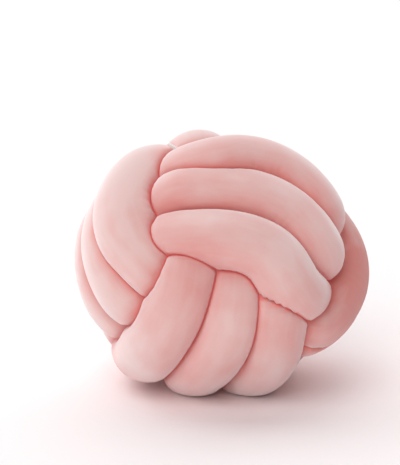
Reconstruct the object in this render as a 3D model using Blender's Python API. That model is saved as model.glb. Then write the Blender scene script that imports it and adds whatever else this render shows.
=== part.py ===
"""Knot cushion: one long stuffed velvet tube, tied in a three-pass ball knot, with a small folded label.

The tube is laid as three rings of three turns each. Every ring stands at right angles to the other two.
Each turn shows twice, as a bulging pass on two opposite faces of the ball, and dips under the passes of
the next ring in between. Where two runs of the tube meet, both are pressed flat against each other.
"""
import math

import bpy
import numpy as np
from mathutils import Matrix
from mathutils.bvhtree import BVHTree

MM = 0.001

# ---- driving dimensions -------------------------------------------------------------------------
STRAND_PITCH = 52 * MM            # middle to middle of two neighbouring passes
SHOWN_RADIUS = 35.5 * MM          # free radius of the tube where it bulges out of the ball
HIDDEN_RADIUS = 35 * MM           # free radius of the tube inside the ball
CROWN_RADIUS = 110 * MM           # ball centre to the middle of a shown pass
WAIST_RADIUS = 62 * MM            # ball centre to the middle of a hidden run
SHOWN_GAP = 1.6 * MM              # left between two runs of the tube that press on each other
HIDDEN_GAP = 3 * MM               # and between two hidden runs
BALL_WIDTH_FACTOR = 1.016         # the soft ball has sunk: a little wider than deep
BALL_HEIGHT_FACTOR = 0.898        # and lower than deep
BALL_TURNS = (43.5, 16.3, -5.4)   # degrees about X, Y and Z by which the knot is rolled
SHOULDER_ANGLE = 39.7             # degrees from the middle of a pass to where it dives under
SHOULDER_DRAW_IN = 0.13           # share of its pitch by which a pass is drawn in at its shoulders
NECK_ALONG = 66 * MM              # the narrow neck below each shoulder, from the ball's centre
NECK_OUT = 60 * MM
NECK_SPREAD = 45.5 * MM           # middle to middle of neighbouring necks
WAIST_SPREAD = 26 * MM            # middle to middle of neighbouring hidden runs
WAIST_STEPS = (0, 32 * MM)        # stations of a hidden run, on both sides of its middle
SWAY_SCALE = 2.6                  # makes sway the furthest that a half of the pass is bent
REST_SAG = 12 * MM                # how far the lowest bulges are pressed in by the floor
REST_BLEND = 4 * MM               # height over which the pressed spot rounds up into the bulge

SIDES = 16                        # faces around the tube
SHOWN_STEP = 21 * MM              # widest spacing of its rings where it shows
HIDDEN_STEP = 32 * MM             # and inside the ball
RING_TURN = 21                    # degrees that the tube may bend from one ring to the next
FINE_STEP = 1.56 * MM             # spacing of the route on which the rings are set out
ROUTE_EASE = 8.3 * MM             # width over which bends of the route are evened out
FLANK_SHARPNESS = 8               # how crisply a pressed flank turns into the round crown
BEND_SHARE = 0.8                  # share of a bend's radius that its inner side may fill
OWN_RUN = 78 * MM                 # stretches of the route nearer than this belong to the same run
REACH = 115 * MM                  # runs further apart than this can't touch
SHOW_START = 70 * MM              # distance from the ball's centre where the shown radius begins
SHOW_FULL = 96 * MM               # and where it is reached
END_TAPER = 24 * MM               # length over which a sewn end of the tube is drawn together
PARTING_ROUNDS = 40               # at most so many rounds of drawing crossing faces in
PARTING_SHRINK = 0.985            # share of its radius that a crossing point keeps in each round
PARTING_CLEARANCE = 0.3 * MM      # faces nearer than this count as crossing

LABEL_SPOT = (-49 * MM, -13 * MM, 243 * MM)      # middle of the label, over the crease it is sewn in
LABEL_SLOPE = 33                  # degrees by which its folded end points up
LABEL_WIDTH = 11 * MM
LABEL_REACH = 13.5 * MM           # from its sewn end to its fold
LABEL_HEIGHT = 3 * MM             # across both layers of the tape and the hollow between them
LABEL_TAPE = 0.9 * MM             # thickness of the tape
LABEL_STEPS = 24                  # faces around the loop

# ---- the nine turns -----------------------------------------------------------------------------
# Every turn shows on two faces, so each row is one shown pass. Sizes are in mm and angles in degrees,
# off an even knot: shift is sideways, tilt turns the pass in its face, bow bends it, sway bends its two
# halves opposite ways, lift swells it out, lean raises its far end, slide moves it along its ring and
# open spreads its shoulders.
PASS_COLUMNS = ("shift", "tilt", "bow", "sway", "lift", "lean", "slide", "open")
PASSES = {
    # ring, face, turn    shift tilt bow sway lift lean slide open
    ("level", 1, 1):      (-3, -12, 18, 0, 8, -3, 9, -9),
    ("level", 1, 0):      (-1, -20, 20, 3, -7, 4, 2, -2),
    ("level", 1, -1):     (-7, -19, 19, 4, -1, 11, -6, -4),
    ("level", -1, 1):     (-4, 0, -3, 0, 5, 0, 0, 3),
    ("level", -1, 0):     (0, 0, 0, 0, -8, 0, 0, -5),
    ("level", -1, -1):    (-4, 0, 0, 0, 2, 0, 0, -4),
    ("side", -1, 1):      (7, -2, -6, 0, 8, 6, 0, -2),
    ("side", -1, 0):      (13, -6, 5, 0, 0, 0, -2, 4),
    ("side", -1, -1):     (20, 3, 18, 0, 0, 4, 0, -5),
    ("side", 1, 1):       (-13, -4, -5, 0, 6, -3, -2, 2),
    ("side", 1, 0):       (13, -15, 0, 0, 5, 1, -4, 4),
    ("side", 1, -1):      (-5, 0, 0, 0, -5, 0, 0, -3),
    ("upright", -1, -1):  (2, 2, 3, 0, 8, -4, -5, 5),
    ("upright", -1, 0):   (4, 0, 0, 4, 3, -4, 1, -1),
    ("upright", -1, 1):   (-2, -5, 4, 0, 8, -2, 2, 4),
    ("upright", 1, -1):   (0, 0, -3, 0, -3, 12, 0, -4),
    ("upright", 1, 0):    (0, 0, 0, 0, 5, -5, -2, 7),
    ("upright", 1, 1):    (0, 0, 0, 0, -3, 0, 0, 0),
}
RINGS = ("level", "side", "upright")     # the order in which the tube is laid
TURNS = (1, 0, -1)
# Both ends of the tube are tucked into the core, as (x, y, z) in mm off the ball's centre.
TUCKED_START = ((-8, 5, -13), (-29, 18, -10), (-52, 25, 0))
TUCKED_END = ((-18, 23, -47), (-8, 22, -24), (2, 8, 2), (8, -6, 18))


# ---- the route of the tube ----------------------------------------------------------------------
def pass_sizes(ring, face, turn):
    """One row of the table, by column name, in metres and radians."""
    row = dict(zip(PASS_COLUMNS, PASSES[ring, face, turn]))
    for column in row:
        row[column] *= math.radians(1) if column in ("slide", "open") else MM
    return row


def crown_point(face, turn, share, row):
    """A point of a shown pass; share runs from -1 at one shoulder over 0 to 1 at the other.

    Points are (along the ring, across it, out of the face).
    """
    angle = (math.radians(SHOULDER_ANGLE) + row["open"]) * share + row["slide"]
    across = (turn * STRAND_PITCH * (1 - SHOULDER_DRAW_IN * share ** 2)
              + row["shift"] + row["tilt"] * share
              + (row["bow"] + SWAY_SCALE * row["sway"] * share) * (1 - share ** 2))
    reach = CROWN_RADIUS + row["lift"] * (1 - 0.5 * share ** 2) + row["lean"] * share
    flat = math.sqrt(reach ** 2 - across ** 2)
    return (flat * math.sin(angle), across, face * flat * math.cos(angle))


def neck_point(face, turn, end, row):
    """The neck below the shoulder at one end (-1 or 1) of a shown pass; it follows half its slide."""
    follow = 0.19 * STRAND_PITCH * (row["slide"] + end * row["open"])
    across = turn * NECK_SPREAD + 0.5 * (row["shift"] + end * row["tilt"])
    return (end * NECK_ALONG + follow, across, face * (NECK_OUT - end * follow))


def face_points(ring, face, turn, direction):
    """Neck, pass and neck of one turn on one face, laid in the given direction."""
    row = pass_sizes(ring, face, turn)
    crown = [crown_point(face, turn, share, row) for share in (-1, -0.5, 0, 0.5, 1)]
    points = [neck_point(face, turn, -1, row)] + crown + [neck_point(face, turn, 1, row)]
    return points[::direction]


def waist_points(end, across, last_across, rising):
    """A hidden run from one face to the other at one end of the ring."""
    middle, off = WAIST_STEPS
    side = 1 if rising else -1
    return [(end * WAIST_RADIUS, across, -side * off),
            (end * WAIST_RADIUS, 0.5 * (across + last_across), middle),
            (end * WAIST_RADIUS, last_across, side * off)]


def ring_points(ring):
    """The three turns of one ring, entered and left by the same waist."""
    points = [(-WAIST_RADIUS, TURNS[0] * WAIST_SPREAD, share * WAIST_STEPS[1]) for share in (0.5, 1)]
    for turn, following in zip(TURNS, TURNS[1:] + (None,)):
        across = turn * WAIST_SPREAD
        points += face_points(ring, 1, turn, 1)
        points += waist_points(1, across, across, False)
        points += face_points(ring, -1, turn, -1)
        if following is None:
            points += waist_points(-1, across, across, True)[:2]
        else:
            points += waist_points(-1, across, following * WAIST_SPREAD, True)
    return np.roll(points, RINGS.index(ring), axis=1)


def knot_points():
    """Every station of the tube's middle line, ball centre at the origin, before it is rolled."""
    rings = [ring_points(ring) for ring in RINGS]
    return np.vstack([np.multiply(TUCKED_START, MM)] + rings + [np.multiply(TUCKED_END, MM)])


def curve_through(points, per_span=16):
    """A smooth curve through all points, its spans timed by the root of their length.

    Neighbouring points are joined by straight lines, those lines by curves, and those curves again.
    """
    ends = np.vstack([2 * points[0] - points[1], points, 2 * points[-1] - points[-2]])
    spans = []
    for first in range(len(points) - 1):
        four = ends[first:first + 4]
        t = np.concatenate([[0], np.cumsum(np.linalg.norm(np.diff(four, axis=0), axis=1) ** 0.5)])
        now = np.linspace(t[1], t[2], per_span, endpoint=False)[:, None]
        lines = [join(four[k], four[k + 1], t[k], t[k + 1], now) for k in range(3)]
        curves = [join(lines[k], lines[k + 1], t[k], t[k + 2], now) for k in range(2)]
        spans.append(join(curves[0], curves[1], t[1], t[2], now))
    return np.vstack(spans + [points[-1:]])


def join(start, stop, start_time, stop_time, now):
    """Straight blend from start to stop, both reached at their own times."""
    share = (now - start_time) / (stop_time - start_time)
    return start + (stop - start) * share


def even_steps(line, step):
    """The line again, with points evenly spaced along it."""
    along = np.concatenate([[0], np.cumsum(np.linalg.norm(np.diff(line, axis=0), axis=1))])
    places = np.linspace(0, along[-1], round(along[-1] / step) + 1)
    return np.stack([np.interp(places, along, line[:, axis]) for axis in range(3)], axis=1)


def laid_route():
    """Middle line of the tube in fine even steps, its bends evened out as stuffing does."""
    route = even_steps(curve_through(knot_points()), FINE_STEP)
    for _ in range(round(2 * (ROUTE_EASE / FINE_STEP) ** 2)):
        route[1:-1] = 0.25 * route[:-2] + 0.5 * route[1:-1] + 0.25 * route[2:]
    return even_steps(route, FINE_STEP)


# ---- the section of the tube --------------------------------------------------------------------
def untwisted_sides(route):
    """Tangents of the route, and a sideways direction at each point that never spins about them.

    Each step mirrors the last direction in the plane halfway to the next point, then in the plane
    that brings the mirrored tangent onto the next one.
    """
    tangents = np.gradient(route, axis=0)
    tangents /= np.linalg.norm(tangents, axis=1, keepdims=True)
    sides = np.zeros_like(tangents)
    sides[0] = np.cross(tangents[0], (0, 0, 1))
    sides[0] /= np.linalg.norm(sides[0])
    for index in range(1, len(route)):
        step = route[index] - route[index - 1]
        side = mirrored(sides[index - 1], step)
        turn = tangents[index] - mirrored(tangents[index - 1], step)
        sides[index] = mirrored(side, turn) if turn @ turn > 0 else side
    return tangents, sides


def mirrored(vector, normal):
    """The vector mirrored in the plane across the given normal."""
    return vector - 2 * (vector @ normal) / (normal @ normal) * normal


def ring_stations(route, tangents):
    """Indices of the route points that get a ring: close together in bends, wider apart inside."""
    step = HIDDEN_STEP + (SHOWN_STEP - HIDDEN_STEP) * shown_share(route)
    bend = np.linalg.norm(np.gradient(tangents, axis=0), axis=1)
    rings = np.cumsum(np.maximum(FINE_STEP / step, bend / math.radians(RING_TURN)))
    count = round(rings[-1] - rings[0])
    stations = np.searchsorted(rings, np.linspace(rings[0], rings[-1], count + 1))
    return np.minimum(stations, len(route) - 1)


def shown_share(route):
    """0 deep inside the ball, 1 where the tube bulges out of it, with a soft change between."""
    far = np.linalg.norm(route, axis=1)
    share = np.clip((far - SHOW_START) / (SHOW_FULL - SHOW_START), 0, 1)
    return share * share * (3 - 2 * share)


def pressed_radius(route, tangents, station, directions, gap):
    """Distance from the middle line to the skin, for every direction around one station.

    Another run of the tube pushes back on the plane halfway to it, less half the gap, and the
    inside of a bend stops short of the bend's centre.
    """
    index = np.arange(len(route))
    away = route - route[station]
    far = np.linalg.norm(away, axis=1)
    near = (far < REACH) & (np.abs(index - station) * FINE_STEP > OWN_RUN)
    limit = np.full(len(directions), REACH)
    if near.any():
        toward = np.maximum(directions @ (away[near] / far[near, None]).T, 0.05)
        limit = ((far[near] - gap) / 2 / toward).min(axis=1)
    before, after = max(station - 1, 0), min(station + 1, len(route) - 1)
    bend = directions @ (tangents[after] - tangents[before]) / ((after - before) * FINE_STEP)
    inner = BEND_SHARE / np.maximum(bend, BEND_SHARE / REACH)
    return np.minimum(limit, inner)


def tube_rings():
    """The tube's skin as rings of points, stations x sides x 3, before the ball is rolled."""
    route = laid_route()
    tangents, sides = untwisted_sides(route)
    stations = ring_stations(route, tangents)
    angles = np.linspace(0, 2 * math.pi, SIDES, endpoint=False)[:, None]
    shown = shown_share(route)
    free = HIDDEN_RADIUS + (SHOWN_RADIUS - HIDDEN_RADIUS) * shown
    gap = HIDDEN_GAP + (SHOWN_GAP - HIDDEN_GAP) * shown
    rings = []
    for station in stations:
        side = sides[station]
        directions = np.cos(angles) * side + np.sin(angles) * np.cross(tangents[station], side)
        room = pressed_radius(route, tangents, station, directions, gap[station]) / free[station]
        filled = room / (1 + room ** FLANK_SHARPNESS) ** (1 / FLANK_SHARPNESS)
        from_end = min(station, len(route) - 1 - station) * FINE_STEP / END_TAPER
        drawn = 1 if from_end >= 1 else max(0.35, math.sqrt(1 - (1 - from_end) ** 2))
        rings.append(route[station] + directions * (filled * free[station] * drawn)[:, None])
    return parted(np.array(rings), route[stations])


def parted(rings, middles):
    """Draw the rings in, a little at a time, wherever faces of two runs would still cross."""
    faces = closed_tube_faces(len(rings))
    for _ in range(PARTING_ROUNDS):
        vertices = np.vstack([rings.reshape(-1, 3), middles[[0, -1]]])
        tree = BVHTree.FromPolygons(vertices.tolist(), faces, epsilon=PARTING_CLEARANCE)
        crossing = {face for pair in tree.overlap(tree) if not meet(faces, pair) for face in pair}
        if not crossing:
            break
        touched = np.unique([corner for face in crossing for corner in faces[face]])
        touched = touched[touched < rings.size // 3]
        shrink = np.ones(rings.size // 3)
        shrink[touched] = PARTING_SHRINK
        rings = middles[:, None] + (rings - middles[:, None]) * shrink.reshape(-1, SIDES, 1)
    return rings


def meet(faces, pair):
    """Whether two faces share a corner."""
    return not set(faces[pair[0]]).isdisjoint(faces[pair[1]])


def settled(points):
    """The ball rolled over, sunk, and pressed flat where it touches the floor at z = 0."""
    turns = [Matrix.Rotation(math.radians(turn), 3, axis) for turn, axis in zip(BALL_TURNS, "XYZ")]
    roll = np.array(turns[0] @ turns[1] @ turns[2])
    points = points @ roll.T * (BALL_WIDTH_FACTOR, 1, BALL_HEIGHT_FACTOR)
    height = points[..., 2] - points[..., 2].min() - REST_SAG
    eased = np.clip(height + REST_BLEND, 0, 2 * REST_BLEND) ** 2 / (4 * REST_BLEND)
    points[..., 2] = np.where(height > REST_BLEND, height, eased)
    middle = (points[..., :2].min(axis=(0, 1)) + points[..., :2].max(axis=(0, 1))) / 2
    points[..., :2] -= middle
    return points


# ---- objects ------------------------------------------------------------------------------------
def plain_material(name, colour, roughness):
    """A cloth finish: no metal, only a colour and a roughness."""
    material = bpy.data.materials.new(name)
    material.use_nodes = True
    shader = material.node_tree.nodes["Principled BSDF"]
    shader.inputs["Base Color"].default_value = (*colour, 1)
    shader.inputs["Roughness"].default_value = roughness
    shader.inputs["Metallic"].default_value = 0
    return material


def mesh_object(name, vertices, faces, material):
    """A smooth-shaded object from vertices and faces."""
    mesh = bpy.data.meshes.new(name)
    mesh.from_pydata([tuple(vertex) for vertex in vertices], [], faces)
    mesh.materials.append(material)
    mesh.shade_smooth()
    item = bpy.data.objects.new(name, mesh)
    bpy.context.scene.collection.objects.link(item)
    return item


def closed_tube_faces(ring_count):
    """Triangle pairs between neighbouring rings, and a fan to one middle point on each end ring."""
    first_middle = ring_count * SIDES
    last_ring = first_middle - SIDES
    faces = []
    for side in range(SIDES):
        following = (side + 1) % SIDES
        for start in range(0, last_ring, SIDES):
            beyond = start + SIDES
            faces.append((start + side, start + following, beyond + following))
            faces.append((start + side, beyond + following, beyond + side))
        faces.append((first_middle, following, side))
        faces.append((first_middle + 1, last_ring + side, last_ring + following))
    return faces


def make_knot_tube():
    """The stuffed velvet tube, one closed body from end to end."""
    rings = settled(tube_rings())
    middles = [rings[0].mean(axis=0), rings[-1].mean(axis=0)]
    vertices = np.vstack([rings.reshape(-1, 3), middles])
    velvet = plain_material("velvet", (0.80, 0.46, 0.42), 0.9)
    return mesh_object("knot_tube", vertices, closed_tube_faces(len(rings)), velvet)


def make_label_loop():
    """The blank folded tape: a flat oval band, open at both edges, with its fold pointing up."""
    angles = np.linspace(0, 2 * math.pi, LABEL_STEPS, endpoint=False)
    loops = []
    for inset in (0, LABEL_TAPE):
        for edge in (-0.5, 0.5):
            loops.append(np.stack([(LABEL_REACH / 2 - inset) * np.cos(angles),
                                   np.full(LABEL_STEPS, edge * LABEL_WIDTH),
                                   (LABEL_HEIGHT / 2 - inset) * np.sin(angles)], axis=1))
    outer_near, outer_far, inner_near, inner_far = (LABEL_STEPS * band for band in range(4))
    faces = []
    for step in range(LABEL_STEPS):
        following = (step + 1) % LABEL_STEPS
        for first, second in ((outer_near, outer_far), (outer_far, inner_far),
                              (inner_far, inner_near), (inner_near, outer_near)):
            faces.append((first + step, second + step, second + following, first + following))
    tape = plain_material("label_tape", (0.93, 0.91, 0.89), 0.8)
    label = mesh_object("label_loop", np.vstack(loops), faces, tape)
    label.location = LABEL_SPOT
    label.rotation_euler = (0, math.radians(LABEL_SLOPE), 0)
    return label


def main():
    for item in list(bpy.data.objects):
        bpy.data.objects.remove(item)
    make_knot_tube()
    make_label_loop()


main()
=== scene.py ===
"""Knot cushion: a long stuffed velvet tube tied into a ball, on a plain pale floor.

The tube is laid as three rings of three turns each, every ring at right angles to the other two. Each
turn shows twice as a bulging pass and dips under the passes of the next ring in between. Where two runs
meet, each is pressed back to the plane halfway between them. A small folded label is sewn in one crease.
"""
import math
import bpy
import numpy as np
from bpy.props import FloatProperty, FloatVectorProperty, IntProperty, PointerProperty
from mathutils import Matrix, Vector


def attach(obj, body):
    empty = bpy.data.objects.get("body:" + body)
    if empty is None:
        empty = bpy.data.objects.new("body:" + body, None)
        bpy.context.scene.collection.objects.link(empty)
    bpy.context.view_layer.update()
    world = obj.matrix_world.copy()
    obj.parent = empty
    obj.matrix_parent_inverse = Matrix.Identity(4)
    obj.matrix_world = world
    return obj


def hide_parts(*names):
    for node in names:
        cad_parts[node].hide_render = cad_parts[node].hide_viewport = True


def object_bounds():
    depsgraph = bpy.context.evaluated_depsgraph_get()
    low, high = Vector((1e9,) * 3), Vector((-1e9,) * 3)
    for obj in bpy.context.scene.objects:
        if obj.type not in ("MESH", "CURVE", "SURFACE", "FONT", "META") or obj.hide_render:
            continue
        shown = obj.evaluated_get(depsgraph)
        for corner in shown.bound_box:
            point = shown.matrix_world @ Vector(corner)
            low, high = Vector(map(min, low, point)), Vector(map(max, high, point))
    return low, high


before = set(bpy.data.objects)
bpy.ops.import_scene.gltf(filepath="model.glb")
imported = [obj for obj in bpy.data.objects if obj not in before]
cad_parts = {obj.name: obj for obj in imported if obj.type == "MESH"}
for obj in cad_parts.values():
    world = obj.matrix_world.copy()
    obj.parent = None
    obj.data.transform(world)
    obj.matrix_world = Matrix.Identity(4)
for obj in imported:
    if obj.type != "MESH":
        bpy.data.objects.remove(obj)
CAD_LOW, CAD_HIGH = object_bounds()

bl_info = {
    "name": "Knot Cushion",
    "version": (1, 0, 0),
    "blender": (4, 5, 0),
    "location": "3D View > Sidebar > Knot Cushion",
    "description": "Lays a stuffed velvet tube in a ball knot, with its label and a plain studio",
    "category": "Add Mesh",
}

MM = 0.001
IMAGE_WIDTH, IMAGE_HEIGHT = 400, 465      # pixels of the photograph's frame

# ---- the knot ---------------------------------------------------------------------------------------
BALL_WIDTH_FACTOR = 1.016         # the soft ball has sunk: a little wider than deep
BALL_HEIGHT_FACTOR = 0.898        # and lower than deep
BALL_TURNS = (43.5, 16.3, -5.4)   # degrees about X, Y and Z by which the knot is rolled
SHOULDER_ANGLE = 39.7             # degrees from the middle of a pass to where it dives under
SHOULDER_DRAW_IN = 0.13           # share of its pitch by which a pass is drawn in at its shoulders
LIFT_LOST = 0.5                   # share of its lift that a pass has lost at its shoulders
NECK_ALONG = 66 * MM              # the narrow neck below each shoulder, from the ball's centre
NECK_OUT = 60 * MM
NECK_SPREAD = 45.5 * MM           # middle to middle of neighbouring necks
NECK_SHIFT = 0.5                  # share of the sideways shift of its pass that a neck follows
NECK_SLIDE = 0.19                 # pitches by which a neck follows each radian that its shoulder slides
WAIST_SPREAD = 26 * MM            # middle to middle of neighbouring hidden runs
WAIST_STEPS = (0, 32 * MM)        # stations of a hidden run, on both sides of its middle
SWAY_SCALE = 2.6                  # makes sway the furthest that a half of the pass is bent
REST_SAG = 12 * MM                # how far the lowest bulges are pressed in by the floor
REST_BLEND = 4 * MM               # half the height over which the pressed spot rounds up into the bulge
FINE_STEP = 1.56 * MM             # spacing of the route on which the rings are set out
ROUTE_EASE = 8.3 * MM             # width over which bends of the route are evened out
FLANK_SHARPNESS = 12              # how crisply a pressed flank turns into the round crown
BEND_SHARE = 0.8                  # share of a bend's radius that its inner side may fill
LEAST_TOWARD = 0.05               # least cosine of the angle to a run; keeps its plane at a finite distance
OWN_RUN = 78 * MM                 # stretches of the route nearer than this belong to the same run
REACH = 115 * MM                  # runs further apart than this can't touch
SHOW_START = 70 * MM              # distance from the ball's centre where the shown radius begins
SHOW_FULL = 96 * MM               # and where it is reached
END_TAPER = 24 * MM               # length over which a sewn end of the tube is drawn together
END_LEFT = 0.35                   # share of the radius that is left at the very end
TINY = 1e-12                      # keeps a length of nought from being divided by

# Every turn shows on two faces, so each row is one shown pass. Sizes are in mm and angles in degrees,
# off an even knot: shift is sideways, tilt turns the pass in its face, bow bends it, sway bends its two
# halves opposite ways, lift swells it out, lean raises its far end, slide moves it along its ring and
# open spreads its shoulders.
PASS_COLUMNS = ("shift", "tilt", "bow", "sway", "lift", "lean", "slide", "open")
PASSES = {
    # ring, face, turn    shift tilt bow sway lift lean slide open
    ("level", 1, 1):      (-3, -12, 18, 0, 8, -3, 9, -9),
    ("level", 1, 0):      (-1, -20, 20, 3, -7, 4, 2, -2),
    ("level", 1, -1):     (-7, -19, 19, 4, -1, 11, -6, -4),
    ("level", -1, 1):     (-4, 0, -3, 0, 5, 0, 0, 3),
    ("level", -1, 0):     (0, 0, 0, 0, -8, 0, 0, -5),
    ("level", -1, -1):    (-4, 0, 0, 0, 2, 0, 0, -4),
    ("side", -1, 1):      (7, -2, -6, 0, 8, 6, 0, -2),
    ("side", -1, 0):      (13, -6, 5, 0, 0, 0, -2, 4),
    ("side", -1, -1):     (20, 3, 18, 0, 0, 4, 0, -5),
    ("side", 1, 1):       (-13, -4, -5, 0, 6, -3, -2, 2),
    ("side", 1, 0):       (13, -15, 0, 0, 5, 1, -4, 4),
    ("side", 1, -1):      (-5, 0, 0, 0, -5, 0, 0, -3),
    ("upright", -1, -1):  (2, 2, 3, 0, 8, -4, -5, 5),
    ("upright", -1, 0):   (4, 0, 0, 4, 3, -4, 1, -1),
    ("upright", -1, 1):   (-2, -5, 4, 0, 8, -2, 2, 4),
    ("upright", 1, -1):   (0, 0, -3, 0, -3, 12, 0, -4),
    ("upright", 1, 0):    (0, 0, 0, 0, 5, -5, -2, 7),
    ("upright", 1, 1):    (0, 0, 0, 0, -3, 0, 0, 0),
}
RINGS = ("level", "side", "upright")     # the order in which the tube is laid
TURNS = (1, 0, -1)
# Both ends of the tube are tucked into the core, as (x, y, z) in mm off the ball's centre.
TUCKED_START = ((-8, 5, -13), (-29, 18, -10), (-52, 25, 0))
TUCKED_END = ((-18, 23, -47), (-8, 22, -24), (2, 8, 2), (8, -6, 18))

CREASE_REACH = 1.3 * MM           # how far the painted shade of a crease, its darkest tone, runs out of it
FLANK_REACH = 15 * MM             # and how far up the flanks the pile is pressed over and painted shade reaches, deeper red beside the next run
GATHER_LENGTH = 9 * MM            # from one small gather of the velvet to the next
GATHER_WANDER = ((2.1, 13 * MM), (1.3, 29 * MM))    # radians by which they stray, each over its length
GATHER_TWIST = 0.9                # radians by which a gather strays on its way around the tube
GATHER_LOBES = 3                  # and how often it does so in one turn
GATHER_DEPTH = 1.4 * MM           # how deep a gather is at most
GATHER_MEAN = 0.65                # mean share of that depth; the rest comes and goes along the tube
GATHER_SWELL = 17 * MM            # over about this length
GATHER_POWER = 3                  # makes the folds narrow and the velvet between them broad
GATHER_REACH = 14 * MM            # how far the gathers run out of a crease
GATHER_SPARE = 0.05               # share of its length by which the velvet is too long before any bend
GATHER_FULL = 0.3                 # lost share of the length at which the gathers are fully grown
PAINTED_LIGHT_FROM = (-0.75, -0.45, 0.48)     # painted light: skin that faces this way, up and to the left toward the lights, is painted paler
NAP = (0.0, -0.82, -0.57)         # painted shade and sheen: a pass laid in this direction is painted paler, one laid the other way darker
NEARNESS_STEP = 2                 # every second point of the route is enough to tell what is near


# ---- sizes and colours that a user would change --------------------------------------------------------
class KnotSizes(bpy.types.PropertyGroup):
    """The stuffed tube and how it is laid."""
    strand_pitch: FloatProperty(name="Pitch", description="Middle to middle of two neighbouring passes",
                                default=52 * MM, unit="LENGTH", precision=4)
    shown_radius: FloatProperty(name="Shown radius", description="Free radius where the tube bulges out",
                                default=35.5 * MM, unit="LENGTH", precision=4)
    hidden_radius: FloatProperty(name="Hidden radius", description="Free radius of the tube inside the ball",
                                 default=35 * MM, unit="LENGTH", precision=4)
    crown_radius: FloatProperty(name="Crown radius", description="Ball centre to the middle of a shown pass",
                                default=110 * MM, unit="LENGTH", precision=4)
    waist_radius: FloatProperty(name="Waist radius", description="Ball centre to the middle of a hidden run",
                                default=62 * MM, unit="LENGTH", precision=4)
    shown_gap: FloatProperty(name="Crease gap", description="Left between two shown runs",
                             default=0.2 * MM, unit="LENGTH", precision=4)
    hidden_gap: FloatProperty(name="Hidden gap", description="Left between two hidden runs",
                              default=2 * MM, unit="LENGTH", precision=4)
    sides: IntProperty(name="Sides", description="Faces around the tube", default=48, min=16)
    shown_step: FloatProperty(name="Shown step", description="Spacing of the rings where the tube shows",
                              default=2.4 * MM, unit="LENGTH", precision=4)
    hidden_step: FloatProperty(name="Hidden step", description="Spacing of the rings inside the ball",
                               default=6 * MM, unit="LENGTH", precision=4)


class StageSettings(bpy.types.PropertyGroup):
    """The plain studio: camera, light and floor."""
    elevation: FloatProperty(name="Elevation", description="Height of the camera above the horizon",
                             default=math.radians(12), unit="ROTATION")
    distance: FloatProperty(name="Distance", description="Camera to the middle of the ball",
                            default=1.4857, unit="LENGTH")
    overhead_light: FloatProperty(name="Overhead light", description="Strength of the broad light from above",
                                  default=2.85, min=0)
    front_light: FloatProperty(name="Front light", description="Strength of the soft light from the front",
                               default=1.9, min=0)
    room_light: FloatProperty(name="Room light", description="Strength of the even light of the room",
                              default=0.12, min=0)
    room_colour: FloatVectorProperty(name="Room colour", description="Colour of the even light",
                                     subtype="COLOR", size=3, min=0, max=1, default=(1.0, 0.75, 0.78))


# ---- the route of the tube ----------------------------------------------------------------------
def pass_sizes(ring, face, turn):
    """One row of the table, by column name, in metres and radians."""
    row = dict(zip(PASS_COLUMNS, PASSES[ring, face, turn]))
    for column in row:
        row[column] *= math.radians(1) if column in ("slide", "open") else MM
    return row


def crown_point(sizes, face, turn, share, row):
    """A point of a shown pass; share runs from -1 at one shoulder over 0 to 1 at the other.

    The pass runs around the ring by an angle in proportion to the share. Across the ring it lies at its
    pitch, shift and tilt, bent sideways by a parabola and its sway. Its distance from the ball's centre
    is the crown radius with its lift and lean.
    Points are (along the ring, across it, out of the face).
    """
    angle = (math.radians(SHOULDER_ANGLE) + row["open"]) * share + row["slide"]
    across = (turn * sizes.strand_pitch * (1 - SHOULDER_DRAW_IN * share ** 2)
              + row["shift"] + row["tilt"] * share
              + (row["bow"] + SWAY_SCALE * row["sway"] * share) * (1 - share ** 2))
    reach = sizes.crown_radius + row["lift"] * (1 - LIFT_LOST * share ** 2) + row["lean"] * share
    flat = math.sqrt(reach ** 2 - across ** 2)
    return (flat * math.sin(angle), across, face * flat * math.cos(angle))


def neck_point(sizes, face, turn, end, row):
    """The neck below the shoulder at one end (-1 or 1) of a shown pass, which it follows part of the way."""
    follow = NECK_SLIDE * sizes.strand_pitch * (row["slide"] + end * row["open"])
    across = turn * NECK_SPREAD + NECK_SHIFT * (row["shift"] + end * row["tilt"])
    return (end * NECK_ALONG + follow, across, face * (NECK_OUT - end * follow))


def face_points(sizes, ring, face, turn, direction):
    """Neck, pass and neck of one turn on one face, laid in the given direction."""
    row = pass_sizes(ring, face, turn)
    crown = [crown_point(sizes, face, turn, share, row) for share in (-1, -0.5, 0, 0.5, 1)]
    points = [neck_point(sizes, face, turn, -1, row)] + crown + [neck_point(sizes, face, turn, 1, row)]
    return points[::direction]


def waist_points(sizes, end, across, last_across, rising):
    """A hidden run from one face to the other at one end of the ring."""
    middle, off = WAIST_STEPS
    side = 1 if rising else -1
    return [(end * sizes.waist_radius, across, -side * off),
            (end * sizes.waist_radius, 0.5 * (across + last_across), middle),
            (end * sizes.waist_radius, last_across, side * off)]


def ring_points(sizes, ring):
    """The three turns of one ring; the first is entered, and the last left, in the middle of a waist."""
    points = [(-sizes.waist_radius, TURNS[0] * WAIST_SPREAD, share * WAIST_STEPS[1]) for share in (0.5, 1)]
    for turn, following in zip(TURNS, TURNS[1:] + (None,)):
        across = turn * WAIST_SPREAD
        points += face_points(sizes, ring, 1, turn, 1)
        points += waist_points(sizes, 1, across, across, False)
        points += face_points(sizes, ring, -1, turn, -1)
        if following is None:
            points += waist_points(sizes, -1, across, across, True)[:2]
        else:
            points += waist_points(sizes, -1, across, following * WAIST_SPREAD, True)
    return np.roll(points, RINGS.index(ring), axis=1)


def knot_points(sizes):
    """Every station of the tube's middle line, ball centre at the origin, before it is rolled."""
    rings = [ring_points(sizes, ring) for ring in RINGS]
    return np.vstack([np.multiply(TUCKED_START, MM)] + rings + [np.multiply(TUCKED_END, MM)])


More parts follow.
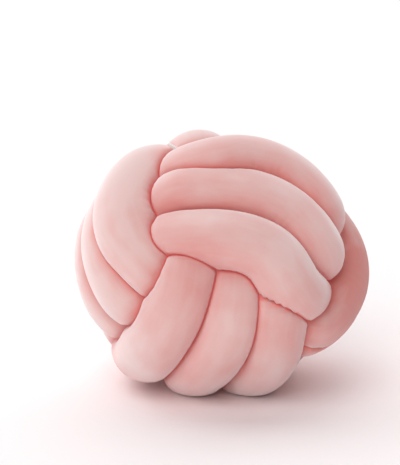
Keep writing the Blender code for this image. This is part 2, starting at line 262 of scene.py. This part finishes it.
def curve_through(points, per_span=16):
    """A smooth curve through all points, its spans timed by the root of their length.

    Neighbouring points are joined by straight lines, those lines by curves, and those curves again.
    """
    ends = np.vstack([2 * points[0] - points[1], points, 2 * points[-1] - points[-2]])
    spans = []
    for first in range(len(points) - 1):
        four = ends[first:first + 4]
        t = np.concatenate([[0], np.cumsum(np.linalg.norm(np.diff(four, axis=0), axis=1) ** 0.5)])
        now = np.linspace(t[1], t[2], per_span, endpoint=False)[:, None]
        lines = [join(four[k], four[k + 1], t[k], t[k + 1], now) for k in range(3)]
        curves = [join(lines[k], lines[k + 1], t[k], t[k + 2], now) for k in range(2)]
        spans.append(join(curves[0], curves[1], t[1], t[2], now))
    return np.vstack(spans + [points[-1:]])


def join(start, stop, start_time, stop_time, now):
    """Straight blend from start to stop, both reached at their own times."""
    share = (now - start_time) / (stop_time - start_time)
    return start + (stop - start) * share


def even_steps(line, step):
    """The line again, with points evenly spaced along it."""
    along = np.concatenate([[0], np.cumsum(np.linalg.norm(np.diff(line, axis=0), axis=1))])
    places = np.linspace(0, along[-1], round(along[-1] / step) + 1)
    return np.stack([np.interp(places, along, line[:, axis]) for axis in range(3)], axis=1)


def laid_route(sizes):
    """Middle line of the tube in fine even steps, its bends evened out as stuffing does.

    Every round moves each point halfway to the middle between its two neighbours.
    """
    route = even_steps(curve_through(knot_points(sizes)), FINE_STEP)
    for _ in range(round(2 * (ROUTE_EASE / FINE_STEP) ** 2)):
        route[1:-1] = 0.25 * route[:-2] + 0.5 * route[1:-1] + 0.25 * route[2:]
    return even_steps(route, FINE_STEP)


# ---- the section of the tube --------------------------------------------------------------------
def untwisted_sides(route):
    """Tangents of the route, and a sideways direction at each point that never spins about them.

    Each step mirrors the last direction in the plane halfway to the next point, then in the plane
    that brings the mirrored tangent onto the next one.
    """
    tangents = np.gradient(route, axis=0)
    tangents /= np.linalg.norm(tangents, axis=1, keepdims=True)
    sides = np.zeros_like(tangents)
    sides[0] = np.cross(tangents[0], (0, 0, 1))
    sides[0] /= np.linalg.norm(sides[0])
    for index in range(1, len(route)):
        step = route[index] - route[index - 1]
        side = mirrored(sides[index - 1], step)
        turn = tangents[index] - mirrored(tangents[index - 1], step)
        sides[index] = mirrored(side, turn) if turn @ turn > 0 else side
    return tangents, sides


def mirrored(vector, normal):
    """The vector mirrored in the plane across the given normal."""
    return vector - 2 * (vector @ normal) / (normal @ normal) * normal


def shown_share(route):
    """0 deep inside the ball and 1 where the tube bulges out of it. Between them the share of the way is
    eased: three times its square less twice its cube.
    """
    far = np.linalg.norm(route, axis=1)
    share = np.clip((far - SHOW_START) / (SHOW_FULL - SHOW_START), 0, 1)
    return share * share * (3 - 2 * share)


def ring_stations(sizes, route):
    """Places along the route, in route steps, that get a ring: close together where the tube shows."""
    step = sizes.hidden_step + (sizes.shown_step - sizes.hidden_step) * shown_share(route)
    rings = np.cumsum(FINE_STEP / step)
    count = round(rings[-1] - rings[0])
    return np.interp(np.linspace(rings[0], rings[-1], count + 1), rings, np.arange(len(route)))


def between(values, places):
    """Rows of an array at fractional places."""
    low = np.minimum(places.astype(int), len(values) - 2)
    share = (places - low).reshape(-1, *[1] * (values.ndim - 1))
    return values[low] * (1 - share) + values[low + 1] * share


def space_around(route, place, middle, bend, directions, gap):
    """How far the tube can reach from its middle line, in every direction around one station: up to the
    other runs, and up to the inside of its own bend.

    Another run pushes back on the plane halfway to it: the distance is half of what lies between the
    middle lines, less half the gap, over the cosine of the angle to that run. The inside of a bend
    stops short of the bend's centre.
    """
    away = route - middle
    far = np.linalg.norm(away, axis=1)
    near = (far < REACH) & (np.abs(np.arange(len(route)) - place) * FINE_STEP > OWN_RUN)
    limit = np.full(len(directions), REACH)
    if near.any():
        toward = np.maximum(directions @ (away[near] / far[near, None]).T, LEAST_TOWARD)
        limit = ((far[near] - gap) / 2 / toward).min(axis=1)
    inner = BEND_SHARE / np.maximum(directions @ bend, BEND_SHARE / REACH)
    return limit, inner


def tube_rings(sizes):
    """The tube's skin as rings of points; for each point its distance from where it would be pressed and
    the room to the next run; the length laid so far at each ring; and the angles around the tube.

    With x the space at a station over the free radius, and p the sharpness, the radius is the free
    radius times x over the p-th root of 1 plus x to the power p: a soft least of the two. Toward a sewn
    end it shrinks as a quarter of a circle does. The gathers are then taken off.
    """
    route = laid_route(sizes)
    tangents, sides = untwisted_sides(route)
    bends = np.gradient(tangents, axis=0) / FINE_STEP
    places = ring_stations(sizes, route)
    middles, tangents, sides, bends = (between(values, places) for values in (route, tangents, sides, bends))
    tangents /= np.linalg.norm(tangents, axis=1, keepdims=True)
    sides -= tangents * (sides * tangents).sum(axis=1, keepdims=True)
    sides /= np.linalg.norm(sides, axis=1, keepdims=True)
    angles = np.linspace(0, 2 * math.pi, sizes.sides, endpoint=False)
    around = np.stack([np.cos(angles), np.sin(angles)], axis=1)
    directions = np.einsum("ka,nac->nkc", around, np.stack([sides, np.cross(tangents, sides)], axis=1))
    shown = shown_share(middles)
    free = sizes.hidden_radius + (sizes.shown_radius - sizes.hidden_radius) * shown
    gap = sizes.hidden_gap + (sizes.shown_gap - sizes.hidden_gap) * shown
    limits = np.empty(directions.shape[:2])
    inners = np.empty(directions.shape[:2])
    for index, place in enumerate(places):
        limits[index], inners[index] = space_around(route, place, middles[index], bends[index],
                                                    directions[index], gap[index])
    space = np.minimum(limits, inners) / free[:, None]
    filled = space / (1 + space ** FLANK_SHARPNESS) ** (1 / FLANK_SHARPNESS)
    from_end = np.minimum(places, len(route) - 1 - places) * FINE_STEP / END_TAPER
    drawn = np.maximum(END_LEFT, np.sqrt(1 - (1 - np.minimum(from_end, 1)) ** 2))
    radius = filled * (free * drawn)[:, None]
    rings = middles[:, None] + directions * radius[..., None]
    room = np.empty(rings.shape[:2])
    for index, place in enumerate(places):
        room[index] = room_beside(route, place, rings[index], sizes.shown_radius)
    inward = np.einsum("nkc,nc->nk", directions, bends) * sizes.shown_radius
    folds = gathers(places * FINE_STEP, angles, inward, room)
    rings -= directions * folds[..., None]
    return rings, limits - radius, room, places * FINE_STEP, angles


def gathers(along, angles, inward, room):
    """Depth of the small folds that the velvet throws on the inner side of a bend, beside a crease.

    The folds run across the tube: a raised sine along it, to a power, its phase straying with the length
    and the angle. They grow with the share of its length that the velvet loses on the inner side, and
    die away with the distance from the next run.
    """
    phase = 2 * math.pi / GATHER_LENGTH * along
    for stray, length in GATHER_WANDER:
        phase = phase + stray * np.sin(along / length)
    phase = phase[:, None] + GATHER_TWIST * np.sin(GATHER_LOBES * angles + 1)[None]
    fold = (0.5 + 0.5 * np.sin(phase)) ** GATHER_POWER
    swell = GATHER_MEAN + (1 - GATHER_MEAN) * np.sin(along / GATHER_SWELL)[:, None]
    lost = np.clip((inward + GATHER_SPARE) / GATHER_FULL, 0, 1)
    return GATHER_DEPTH * swell * lost * np.exp(-room / GATHER_REACH) * fold


def room_beside(route, place, points, radius):
    """Distance from points of the skin to the skin of the nearest other run, or 0 where they press."""
    steps = np.arange(0, len(route), NEARNESS_STEP)
    others = route[steps[np.abs(steps - place) * FINE_STEP > OWN_RUN]]
    others = others[np.linalg.norm(others - points.mean(axis=0), axis=1) < REACH + radius]
    if not len(others):
        return np.full(len(points), REACH)
    away = np.linalg.norm(points[:, None] - others[None], axis=2).min(axis=1)
    return np.maximum(away - radius, 0)


def skin_normals(rings):
    """Outward direction at every point: across both the run of the tube and the way around it."""
    along = np.gradient(rings, axis=0)
    around = np.roll(rings, -1, axis=1) - np.roll(rings, 1, axis=1)
    normals = np.cross(around, along)
    return normals / np.maximum(np.linalg.norm(normals, axis=2, keepdims=True), TINY)


def settled(points):
    """The ball rolled over, sunk, and pressed flat where it touches the floor at z = 0.

    All that would be below the floor lies on it, and a parabola leads up from there into the bulge.
    """
    turns = [Matrix.Rotation(math.radians(turn), 3, axis) for turn, axis in zip(BALL_TURNS, "XYZ")]
    roll = np.array(turns[0] @ turns[1] @ turns[2])
    points = points @ roll.T * (BALL_WIDTH_FACTOR, 1, BALL_HEIGHT_FACTOR)
    height = points[..., 2] - points[..., 2].min() - REST_SAG
    eased = np.clip(height + REST_BLEND, 0, 2 * REST_BLEND) ** 2 / (4 * REST_BLEND)
    points[..., 2] = np.where(height > REST_BLEND, height, eased)
    middle = (points[..., :2].min(axis=(0, 1)) + points[..., :2].max(axis=(0, 1))) / 2
    points[..., :2] -= middle
    return points


# ---- meshes -------------------------------------------------------------------------------------
def mesh_object(name, vertices, faces, material):
    """A smooth-shaded object at the origin, from arrays of vertices and faces."""
    mesh = bpy.data.meshes.new(name)
    mesh.from_pydata(vertices, [], faces)
    mesh.materials.append(material)
    mesh.shade_smooth()
    mesh.validate()
    item = bpy.data.objects.new(name, mesh)
    bpy.context.scene.collection.objects.link(item)
    return item


def carried_faces(stations, sides):
    """Quads between neighbouring rings of a closed section carried along a line, and a cap at each end."""
    start = np.arange(stations - 1)[:, None] * sides
    side = np.arange(sides)
    following = (side + 1) % sides
    quads = np.stack([start + side, start + following, start + sides + following, start + sides + side],
                     axis=-1)
    first_cap = side[::-1].tolist()
    last_cap = (side + (stations - 1) * sides).tolist()
    return quads.reshape(-1, 4).tolist() + [first_cap, last_cap]


def add_attribute(mesh, name, kind, field, values):
    """A value at each vertex, which the materials read by its name."""
    attribute = mesh.attributes.new(name, kind, "POINT")
    attribute.data.foreach_set(field, np.ascontiguousarray(values, dtype=np.float32).ravel())


# ---- shader maths -------------------------------------------------------------------------------
class Value:
    """One output of a material's nodes. Sums, differences and products of it add Math nodes."""

    def __init__(self, finish, socket):
        self.finish = finish
        self.socket = socket

    def maths(self, operation, first, second, clamp=False):
        """The output of one Math node, kept between 0 and 1 where clamp is set."""
        settings = {"operation": operation, "use_clamp": clamp}
        return self.finish.node("ShaderNodeMath", settings, {0: first, 1: second})

    def __add__(self, other):
        return self.maths("ADD", self, other)

    def __radd__(self, other):
        return self.maths("ADD", other, self)

    def __sub__(self, other):
        return self.maths("SUBTRACT", self, other)

    def __rsub__(self, other):
        return self.maths("SUBTRACT", other, self)

    def __mul__(self, other):
        return self.maths("MULTIPLY", self, other)

    def __rmul__(self, other):
        return self.maths("MULTIPLY", other, self)

    def clamped(self):
        """The value kept between 0 and 1."""
        return self.maths("ADD", self, 0.0, clamp=True)


class Finish:
    """A material with a Principled shader, or two that are mixed, and the nodes that feed them."""

    def __init__(self, name, fixed):
        self.material = bpy.data.materials.new(name)
        self.material.use_nodes = True
        self.tree = self.material.node_tree
        self.shader = self.tree.nodes["Principled BSDF"]
        self.feed(self.shader, fixed)

    def second_shader(self, share, fixed):
        """Another Principled shader, which shows by the given share in place of the first."""
        second = self.tree.nodes.new("ShaderNodeBsdfPrincipled")
        self.feed(second, fixed)
        shaders = {1: Value(self, self.shader.outputs[0]), 2: Value(self, second.outputs[0])}
        mixed = self.node("ShaderNodeMixShader", None, {0: share, **shaders})
        self.tree.links.new(mixed.socket, self.tree.nodes["Material Output"].inputs["Surface"])
        return second

    def feed(self, node, inputs):
        """Set or link sockets of a node, each by its name or its place."""
        for key, value in inputs.items():
            if isinstance(value, Value):
                self.tree.links.new(value.socket, node.inputs[key])
            else:
                node.inputs[key].default_value = value

    def node(self, kind, settings=None, inputs=None, output=0):
        """A node of the given type: its settings first, then its sockets; returns one output."""
        node = self.tree.nodes.new(kind)
        for key, value in (settings or {}).items():
            setattr(node, key, value)
        self.feed(node, inputs or {})
        return Value(self, node.outputs[output])

    def attribute(self, name, output="Fac"):
        """A value or vector stored at the vertices."""
        return self.node("ShaderNodeAttribute", {"attribute_name": name}, output=output)

    def stretched(self, vector, factors):
        """A vector with each of its axes scaled."""
        return self.node("ShaderNodeVectorMath", {"operation": "MULTIPLY"}, {0: vector, 1: factors})

    def noise(self, vector, size, detail=2.0, roughness=0.5):
        """Soft random patches of about the given size, from 0 to 1."""
        inputs = {"Vector": vector, "Scale": 1 / size, "Detail": detail, "Roughness": roughness}
        return self.node("ShaderNodeTexNoise", {"noise_dimensions": "3D"}, inputs)

    def blend(self, share, low, high):
        """A colour that goes from low to high with the share."""
        settings = {"data_type": "RGBA", "blend_type": "MIX", "clamp_factor": True}
        return self.node("ShaderNodeMix", settings, {0: share, 6: low, 7: high}, output=2)

    def bump(self, height, distance, strength):
        """A relief of the given depth, seen with the given strength."""
        inputs = {"Height": height, "Distance": distance, "Strength": strength}
        return self.node("ShaderNodeBump", None, inputs)


def colour(red, green, blue):
    """A full colour, as a socket takes it."""
    return (red, green, blue, 1.0)


# How much each thing adds to the tone of the velvet, which is 0 where the pile was brushed over or lies in
# painted shade, and 1 where it stands free or is painted lit. The broad and small patches and the pile vary
# at random; the rest is painted light and shade: paler where the skin faces the light, paler or darker by
# which way a pass is laid, darker beside the next run. Each of them runs from about 0 to 1.
TONE_SHARES = {"stroke": 0.6, "nap": 0.6, "brushed": 2.0, "patches": 1.0, "pile": 0.2, "flank": -0.8}
TONE_START = -1.6
BRUSHED_SIZE = 60 * MM            # size of the broad brushed patches
PATCH_SIZE = 14 * MM              # size of the small ones
PATCH_STRETCH = (1, 1, 0.35)      # makes the small ones longer along the tube
PATCH_DETAIL = 3.0                # and how finely they break up
PILE_ROUGHNESS = 0.6              # how uneven the tufts are
PILE_DEPTH = 0.35 * MM            # relief of the pile
PILE_STRENGTH = 0.35              # and how strongly it shows
PATCH_RELIEF = 0.6                # relief of the small patches, as a share of the pile's
GLOW_SPREAD = (1.0, 0.4, 0.35)    # how far red, green and blue light wander, as shares of the glow depth
VELVET_GLOSS = 0.1                # velvet has next to no gloss
VELVET_ROUGHNESS = (0.82, 0.14)   # where the tone is 0, and what is added where it is 1
CREASE_DARK = 1.6                 # how soon the sheen is taken off in a crease, as painted shade
NAP_AWAY = 0.3                    # painted shade: a pass laid further from the pale way than this begins to lose its sheen
NAP_FALL = 2.4                    # and how soon it does


def velvet_finish():
    """Short-pile velvet: pale where it is seen edge on, and painted in light and shade: deeper red in the
    creases, beside other runs and on the passes laid one way, paler where it faces the light.

    Two shaders share the tone and the relief. The second has no sheen, and shows in the creases and on the
    passes laid away from the pale way, as painted shade; its emission is a painted glow in the creases, which
    stands in for light bouncing between the runs.
    """
    look = bpy.context.scene.velvet_look
    fixed = {"Metallic": 0.0, "Specular IOR Level": VELVET_GLOSS, "Subsurface Weight": look.glow,
             "Subsurface Scale": look.glow_depth, "Subsurface Radius": GLOW_SPREAD}
    sheen = {"Sheen Weight": look.sheen, "Sheen Roughness": look.sheen_roughness,
             "Sheen Tint": colour(*look.sheen_colour)}
    finish = Finish("velvet_pile", {**fixed, **sheen})
    place = finish.node("ShaderNodeTexCoord", output="Object")
    laid = finish.stretched(finish.attribute("straight_tube", "Vector"), PATCH_STRETCH)
    crease = finish.attribute("crease")
    parts = {name: finish.attribute(name) for name in ("stroke", "nap", "flank")}
    parts["brushed"] = finish.noise(place, BRUSHED_SIZE)
    parts["patches"] = finish.noise(laid, PATCH_SIZE, PATCH_DETAIL)
    parts["pile"] = finish.noise(place, look.pile_size, roughness=PILE_ROUGHNESS)
    # The tone mixes random patches with painted light and shade
    tone = (sum(parts[name] * share for name, share in TONE_SHARES.items()) + TONE_START).clamped()
    crown = finish.blend(tone, colour(*look.brushed_and_shaded_colour), colour(*look.crown_colour))
    # Pressed pile and painted shade: the creases are painted a deeper red
    base = finish.blend(crease, crown, colour(*look.crease_colour))
    relief = finish.bump(parts["pile"] + parts["patches"] * PATCH_RELIEF, PILE_DEPTH, PILE_STRENGTH)
    # Painted shade: passes laid away from the pale way lose their sheen
    away = ((NAP_AWAY - parts["nap"]) * NAP_FALL).clamped()
    # Painted glow: a faint emission in the creases stands in for light bouncing between the runs
    glow = finish.blend(crease, colour(0, 0, 0), colour(*look.crease_painted_glow))
    pressed = finish.second_shader((crease * CREASE_DARK + away).clamped(),
                                   {**fixed, "Emission Color": glow, "Emission Strength": 1.0})
    smoothest, added = VELVET_ROUGHNESS
    for shader in (finish.shader, pressed):
        finish.feed(shader, {"Base Color": base, "Roughness": smoothest + tone * added, "Normal": relief})
    return finish.material


class VelvetLook(bpy.types.PropertyGroup):
    """The finish of the velvet."""
    # Pale end of the tone: free pile, and painted light where the skin faces the light
    crown_colour: FloatVectorProperty(name="Crown", description="Where the pile stands free", subtype="COLOR",
                                      size=3, min=0, max=1, default=(0.74, 0.47, 0.44))
    # Deep red end of the tone: brushed pile, and painted shade beside other runs, on passes laid one way and
    # where the skin faces away from the light
    brushed_and_shaded_colour: FloatVectorProperty(name="Brushed", description="Where the pile was brushed the other way",
                                      subtype="COLOR", size=3, min=0, max=1, default=(0.68, 0.22, 0.19))
    # Pressed pile and painted shade in the creases
    crease_colour: FloatVectorProperty(name="Crease", description="Where the pile is pressed in the creases",
                                       subtype="COLOR", size=3, min=0, max=1, default=(0.90, 0.25, 0.22))
    # Painted glow of the creases: an emission, not a lamp
    crease_painted_glow: FloatVectorProperty(name="Crease glow", description="Light that comes through the pile",
                                     subtype="COLOR", size=3, min=0, max=1, default=(0.11, 0.06, 0.06))
    sheen_colour: FloatVectorProperty(name="Sheen", description="Tint of the pile seen edge on",
                                      subtype="COLOR", size=3, min=0, max=1, default=(1.0, 1.0, 1.0))
    sheen: FloatProperty(name="Sheen amount", description="How strongly the pile lights up seen edge on",
                         default=1.0, min=0, max=1)
    sheen_roughness: FloatProperty(name="Sheen spread", description="How far the light of the pile spreads",
                                   default=0.72, min=0, max=1)
    glow: FloatProperty(name="Glow", description="Share of the light that wanders inside the pile",
                        default=0.3, min=0, max=1)
    glow_depth: FloatProperty(name="Glow depth", description="How far that light wanders",
                              default=5 * MM, unit="LENGTH", precision=4)
    pile_size: FloatProperty(name="Pile", description="Size of one tuft of the pile",
                             default=0.8 * MM, unit="LENGTH", precision=5)


TAPE_BANDS = {"X": (400.0, 0.6), "Y": (700.0, 0.4)}      # scale and share of the ribs and of the threads
TAPE_UNEVEN = 0.4                 # how unevenly they lie
TAPE_COLOURS = ((0.90, 0.88, 0.86), (0.98, 0.97, 0.95))   # between the threads and on them
TAPE_RELIEF = 0.12 * MM           # relief of the weave
TAPE_STRENGTH = 0.5               # and how strongly it shows
TAPE_ROUGHNESS = (0.7, 0.1)       # between the threads, and what is added on them
FLOOR_COLOURS = ((0.97, 0.95, 0.955), (0.99, 0.97, 0.975))
FLOOR_CLOUD = 0.4                 # metres across one of the floor's faint clouds
FLOOR_ROUGHNESS = (0.9, 0.05)     # outside the clouds, and what is added in them


def tape_finish():
    """Plain woven label tape: fine ribs across it, finer threads along it and a soft sheen."""
    finish = Finish("label_weave", {"Metallic": 0.0, "Specular IOR Level": 0.3, "Sheen Weight": 0.2})
    laid = finish.attribute("tape_coords", "Vector")
    weave = 0
    for direction, (scale, share) in TAPE_BANDS.items():
        bands = finish.node("ShaderNodeTexWave", {"wave_type": "BANDS", "bands_direction": direction},
                            {"Vector": laid, "Scale": scale, "Distortion": TAPE_UNEVEN})
        weave = weave + bands * share
    shade = finish.blend(weave, colour(*TAPE_COLOURS[0]), colour(*TAPE_COLOURS[1]))
    relief = finish.bump(weave, TAPE_RELIEF, TAPE_STRENGTH)
    smoothest, added = TAPE_ROUGHNESS
    finish.feed(finish.shader, {"Base Color": shade, "Roughness": smoothest + weave * added,
                                "Normal": relief})
    return finish.material


def floor_finish():
    """Matt white studio floor, faintly clouded."""
    finish = Finish("pale_floor", {"Metallic": 0.0, "Specular IOR Level": 0.2})
    place = finish.node("ShaderNodeTexCoord", output="Object")
    cloudy = finish.noise(place, FLOOR_CLOUD, detail=1.0)
    shade = finish.blend(cloudy, colour(*FLOOR_COLOURS[0]), colour(*FLOOR_COLOURS[1]))
    smoothest, added = FLOOR_ROUGHNESS
    finish.feed(finish.shader, {"Base Color": shade, "Roughness": smoothest + cloudy * added})
    return finish.material


# ---- pieces -------------------------------------------------------------------------------------
class CUSHION_OT_lay_tube(bpy.types.Operator):
    """Lay the stuffed velvet tube in its ball knot"""
    bl_idname = "cushion.lay_tube"
    bl_label = "Lay the tube"

    def execute(self, context):
        sizes = context.scene.knot_sizes
        rings, press, room, along, angles = tube_rings(sizes)
        rings = settled(rings)
        count, sides = rings.shape[:2]
        tube = mesh_object("velvet_tube", rings.reshape(-1, 3), carried_faces(count, sides), velvet_finish())
        # Painted light and shade, kept at the vertices: paler where the skin faces the light, darker in the
        # creases and beside other runs
        stroke = skin_normals(rings) @ np.array(PAINTED_LIGHT_FROM)
        laid = np.gradient(rings.mean(axis=1), axis=0)
        # Painted shade and sheen, by which way each pass is laid
        nap = laid / np.linalg.norm(laid, axis=1, keepdims=True) @ np.array(NAP)
        # Painted shade in the creases, where the pile is also pressed
        add_attribute(tube.data, "crease", "FLOAT", "value", np.exp(-press / CREASE_REACH))
        # Painted shade beside the next run, where the pile is also pressed over
        add_attribute(tube.data, "flank", "FLOAT", "value", np.exp(-room / FLANK_REACH))
        add_attribute(tube.data, "stroke", "FLOAT", "value", 0.5 + 0.5 * stroke)
        add_attribute(tube.data, "nap", "FLOAT", "value", np.repeat(0.5 + 0.5 * nap, sides))
        flat = np.empty((count, sides, 3))
        flat[..., 0] = np.cos(angles) * sizes.shown_radius
        flat[..., 1] = np.sin(angles) * sizes.shown_radius
        flat[..., 2] = along[:, None]
        add_attribute(tube.data, "straight_tube", "FLOAT_VECTOR", "vector", flat)
        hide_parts("knot_tube")
        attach(tube, "root")
        return {"FINISHED"}


class LabelSizes(bpy.types.PropertyGroup):
    """The folded label."""
    width: FloatProperty(name="Width", description="Width of the tape", default=11 * MM,
                         unit="LENGTH", precision=4)
    reach: FloatProperty(name="Reach", description="From the sewn ends to the fold",
                         default=13.5 * MM, unit="LENGTH", precision=4)
    height: FloatProperty(name="Height", description="Across both layers and the hollow between them",
                          default=2.6 * MM, unit="LENGTH", precision=4)
    tape: FloatProperty(name="Tape", description="Thickness of the tape", default=1.05 * MM,
                        unit="LENGTH", precision=4)
    slope: FloatProperty(name="Slope", description="Angle at which the folded end points up",
                         default=math.radians(33), unit="ROTATION")


LABEL_SPOT = (-48.5 * MM, -14 * MM, 244 * MM)      # middle of the label, over the crease it is sewn in
LABEL_STEPS = 72                  # rings of faces along the tape
LABEL_CORNERS = 20                # points around its section
LABEL_PINCH = 0.35                # share of the hollow's height that is left toward the sewn ends
LABEL_APART = 0.4                 # thicknesses by which each layer is off the middle where they are sewn
LABEL_POWERS = (0.12, 0.5)        # make the section an oblong with its edges just rounded


def label_rings(sizes):
    """The folded tape as rings of points before it is placed, the length along it at each ring, and how
    far each point of a ring lies across the tape and out of its middle.

    The middle line is a flat loop, open at its sewn end: minus the cosine of an angle along the label and
    its sine upward, lower toward the sewn end. The section is the cosine and sine of a second angle,
    each to its own power.
    """
    turn = np.linspace(-math.pi, math.pi, LABEL_STEPS)
    hollow = LABEL_PINCH + (1 - LABEL_PINCH) * np.cos(turn / 2)
    path = np.stack([-0.5 * (sizes.reach - sizes.tape) * np.cos(turn), np.zeros_like(turn),
                     0.5 * (sizes.height - sizes.tape) * np.sin(turn) * hollow], axis=1)
    path[:, 2] += np.sign(turn) * LABEL_APART * sizes.tape * (1 - np.cos(turn / 2)) ** 2
    tangents = np.gradient(path, axis=0)
    tangents /= np.linalg.norm(tangents, axis=1, keepdims=True)
    outward = np.stack([-tangents[:, 2], np.zeros(len(path)), tangents[:, 0]], axis=1)
    corner = np.linspace(0, 2 * math.pi, LABEL_CORNERS, endpoint=False) + math.pi / LABEL_CORNERS
    halves = (0.5 * sizes.width, 0.5 * sizes.tape)
    across, thick = (half * np.sign(wave) * np.abs(wave) ** power
                     for half, wave, power in zip(halves, (np.cos(corner), np.sin(corner)), LABEL_POWERS))
    rings = (path[:, None] + across[None, :, None] * np.array((0, 1, 0))
             + thick[None, :, None] * outward[:, None])
    along = np.concatenate([[0], np.cumsum(np.linalg.norm(np.diff(path, axis=0), axis=1))])
    return rings, along, across, thick


class CUSHION_OT_sew_label(bpy.types.Operator):
    """Sew the blank folded label into its crease"""
    bl_idname = "cushion.sew_label"
    bl_label = "Sew in the label"

    def execute(self, context):
        sizes = context.scene.label_sizes
        rings, along, across, thick = label_rings(sizes)
        roll = np.array(Matrix.Rotation(sizes.slope, 3, "Y"))
        placed = rings @ roll.T + LABEL_SPOT
        label = mesh_object("folded_label", placed.reshape(-1, 3), carried_faces(LABEL_STEPS, LABEL_CORNERS),
                            tape_finish())
        coords = np.zeros(placed.shape)
        coords[..., 0] = along[:, None]
        coords[..., 1] = across
        coords[..., 2] = thick
        add_attribute(label.data, "tape_coords", "FLOAT_VECTOR", "vector", coords)
        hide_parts("label_loop")
        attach(label, "root")
        return {"FINISHED"}


# ---- studio -------------------------------------------------------------------------------------
BOX_PIXEL = (222.0, 257.2)        # where the middle of the ball's box lies in the photograph
PIXELS_PER_METRE = 978            # in the photograph, at the middle of the ball
FLOOR_RADII = (0.5, 2.0, 8.0, 40.0)       # metres
FLOOR_SIDES = 96                  # points on each circle of the floor
SEEN_TO = 100.0                   # metres; the camera sees nothing beyond
SENSOR = 36.0                     # mm, across the long side of the picture
LIGHTS = {                        # where each light comes from, and how many degrees it spreads
    "overhead_light": ((-0.20, 0.72, 0.66), 100),
    "front_light": ((-0.30, -0.75, 0.60), 60),
}


class CUSHION_OT_set_stage(bpy.types.Operator):
    """Set up the pale floor, the soft light and the camera"""
    bl_idname = "cushion.set_stage"
    bl_label = "Set the stage"

    def execute(self, context):
        settings = context.scene.stage_settings
        make_floor()
        make_lights(settings)
        make_camera(settings)
        return {"FINISHED"}


def make_floor():
    """A wide level disc under the cushion: circles around the origin, joined by faces that look up."""
    angles = np.linspace(0, 2 * math.pi, FLOOR_SIDES, endpoint=False)
    points = np.zeros((len(FLOOR_RADII), FLOOR_SIDES, 3))
    points[..., 0] = np.multiply.outer(FLOOR_RADII, np.cos(angles))
    points[..., 1] = np.multiply.outer(FLOOR_RADII, np.sin(angles))
    start = np.arange(len(FLOOR_RADII) - 1)[:, None] * FLOOR_SIDES
    side = np.arange(FLOOR_SIDES)
    following = (side + 1) % FLOOR_SIDES
    quads = np.stack([start + side, start + FLOOR_SIDES + side, start + FLOOR_SIDES + following,
                      start + following], axis=-1)
    faces = quads.reshape(-1, 4).tolist() + [side.tolist()]
    mesh_object("floor", points.reshape(-1, 3), faces, floor_finish())


def make_lights(settings):
    """Broad soft lights from above and the front, and the faint, slightly pink light of the room."""
    world = bpy.data.worlds.new("pale_room")
    world.use_nodes = True
    background = world.node_tree.nodes["Background"]
    background.inputs["Color"].default_value = colour(*settings.room_colour)
    background.inputs["Strength"].default_value = settings.room_light
    show_white_walls(world.node_tree)
    bpy.context.scene.world = world
    for name, (direction, spread) in LIGHTS.items():
        light = bpy.data.lights.new(name, "SUN")
        light.energy = getattr(settings, name)
        light.angle = math.radians(spread)
        lamp = bpy.data.objects.new(name, light)
        lamp.rotation_euler = Vector(direction).to_track_quat("Z", "Y").to_euler()
        bpy.context.scene.collection.objects.link(lamp)
    bpy.context.scene.view_settings.view_transform = "Standard"


def show_white_walls(tree):
    """The room is seen white beyond the floor, while it lights the cushion with its own strength."""
    seen = tree.nodes.new("ShaderNodeBackground")
    seen.inputs["Color"].default_value = colour(1, 1, 1)
    mix = tree.nodes.new("ShaderNodeMixShader")
    tree.links.new(tree.nodes.new("ShaderNodeLightPath").outputs["Is Camera Ray"], mix.inputs[0])
    tree.links.new(tree.nodes["Background"].outputs[0], mix.inputs[1])
    tree.links.new(seen.outputs[0], mix.inputs[2])
    tree.links.new(mix.outputs[0], tree.nodes["World Output"].inputs["Surface"])


def make_camera(settings):
    """A camera level from side to side, looking down on the ball as in the photograph."""
    camera_data = bpy.data.cameras.new("camera")
    camera_data.sensor_fit = "VERTICAL"
    camera_data.sensor_height = SENSOR
    camera_data.lens = SENSOR * settings.distance * PIXELS_PER_METRE / IMAGE_HEIGHT
    camera_data.shift_x = (IMAGE_WIDTH / 2 - BOX_PIXEL[0]) / IMAGE_HEIGHT
    camera_data.shift_y = -(IMAGE_HEIGHT / 2 - BOX_PIXEL[1]) / IMAGE_HEIGHT
    camera_data.clip_end = SEEN_TO
    camera = bpy.data.objects.new("camera", camera_data)
    middle = (CAD_LOW + CAD_HIGH) / 2
    forward = Vector((0, math.cos(settings.elevation), -math.sin(settings.elevation)))
    camera.location = middle - forward * settings.distance
    camera.rotation_euler = (math.pi / 2 - settings.elevation, 0, 0)
    bpy.context.scene.collection.objects.link(camera)
    bpy.context.scene.camera = camera


# ---- panel and start ----------------------------------------------------------------------------
class CUSHION_PT_panel(bpy.types.Panel):
    """Sizes, finishes and pieces of the knot cushion"""
    bl_label = "Knot Cushion"
    bl_idname = "CUSHION_PT_panel"
    bl_space_type = "VIEW_3D"
    bl_region_type = "UI"
    bl_category = "Knot Cushion"

    def draw(self, context):
        for group, operator in PARTS:
            box = self.layout.box()
            settings = getattr(context.scene, group)
            for name in settings.bl_rna.properties.keys():
                if name not in ("rna_type", "name"):
                    box.prop(settings, name)
            if operator:
                box.operator(operator.bl_idname)


GROUPS = {"knot_sizes": KnotSizes, "velvet_look": VelvetLook, "label_sizes": LabelSizes,
          "stage_settings": StageSettings}
PARTS = (("velvet_look", None), ("knot_sizes", CUSHION_OT_lay_tube), ("label_sizes", CUSHION_OT_sew_label),
         ("stage_settings", CUSHION_OT_set_stage))
CLASSES = (*GROUPS.values(), CUSHION_OT_lay_tube, CUSHION_OT_sew_label, CUSHION_OT_set_stage,
           CUSHION_PT_panel)


def register():
    for item in CLASSES:
        bpy.utils.register_class(item)
    for name, group in GROUPS.items():
        setattr(bpy.types.Scene, name, PointerProperty(type=group))


def unregister():
    for name in GROUPS:
        delattr(bpy.types.Scene, name)
    for item in reversed(CLASSES):
        bpy.utils.unregister_class(item)


def main():
    register()
    bpy.ops.cushion.lay_tube()
    bpy.ops.cushion.sew_label()
    bpy.ops.cushion.set_stage()


if __name__ == "__main__":
    main()
